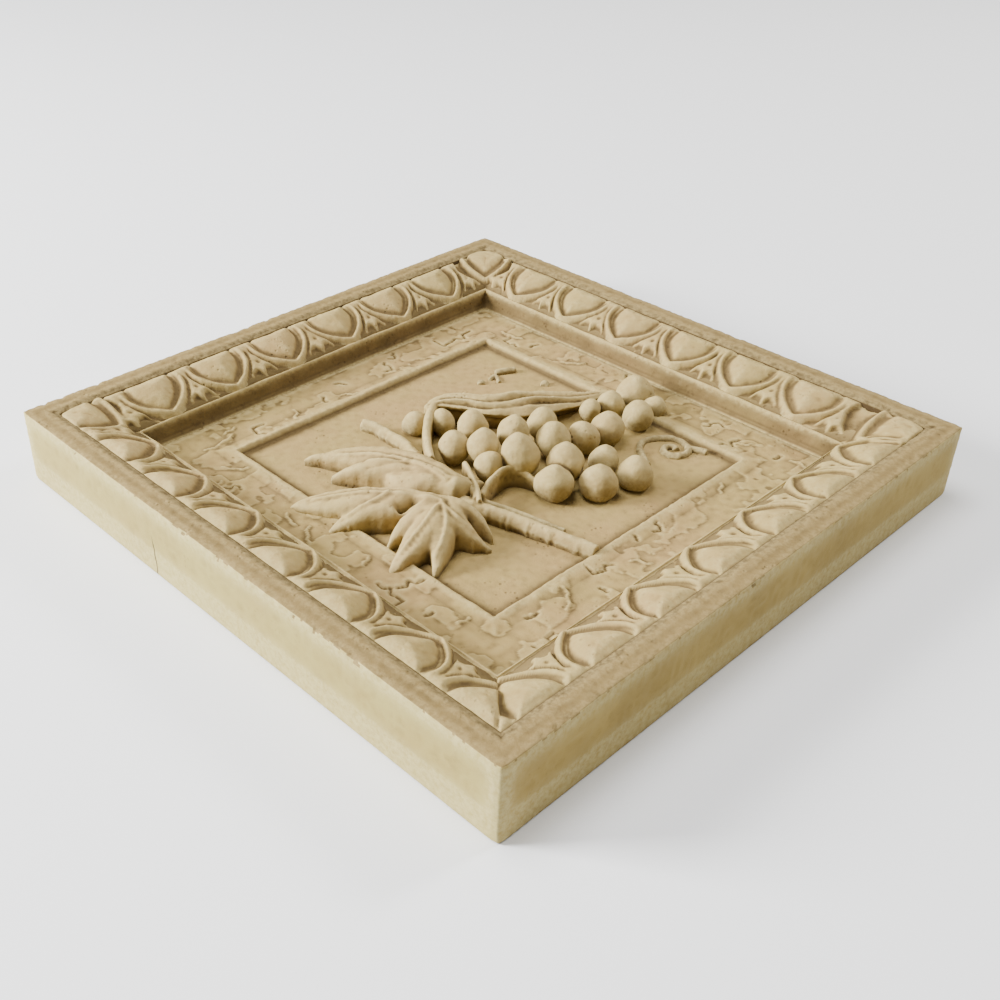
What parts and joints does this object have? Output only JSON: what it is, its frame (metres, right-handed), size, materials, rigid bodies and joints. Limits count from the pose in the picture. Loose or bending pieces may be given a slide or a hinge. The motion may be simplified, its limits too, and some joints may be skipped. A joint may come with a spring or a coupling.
{
  "type": "decorative wall plaque",
  "caption": "Square cast wall plaque: egg-and-dart frame round a sunk panel with a bunch of grapes, vine leaves, a branch and a tendril.",
  "frame": {"origin": "middle of the flat back, where the plaque meets the wall", "axes": "+Z out of the carved face, +Y up when the plaque hangs, +X to the viewer's right"},
  "size_m": [0.3, 0.3, 0.0373],
  "materials": {
    "cast_plaster": "matte, tan wash darker in the hollows"
  },
  "bodies": {
    "root": {"plaque": "cast_plaster"}
  },
  "joints": []
}
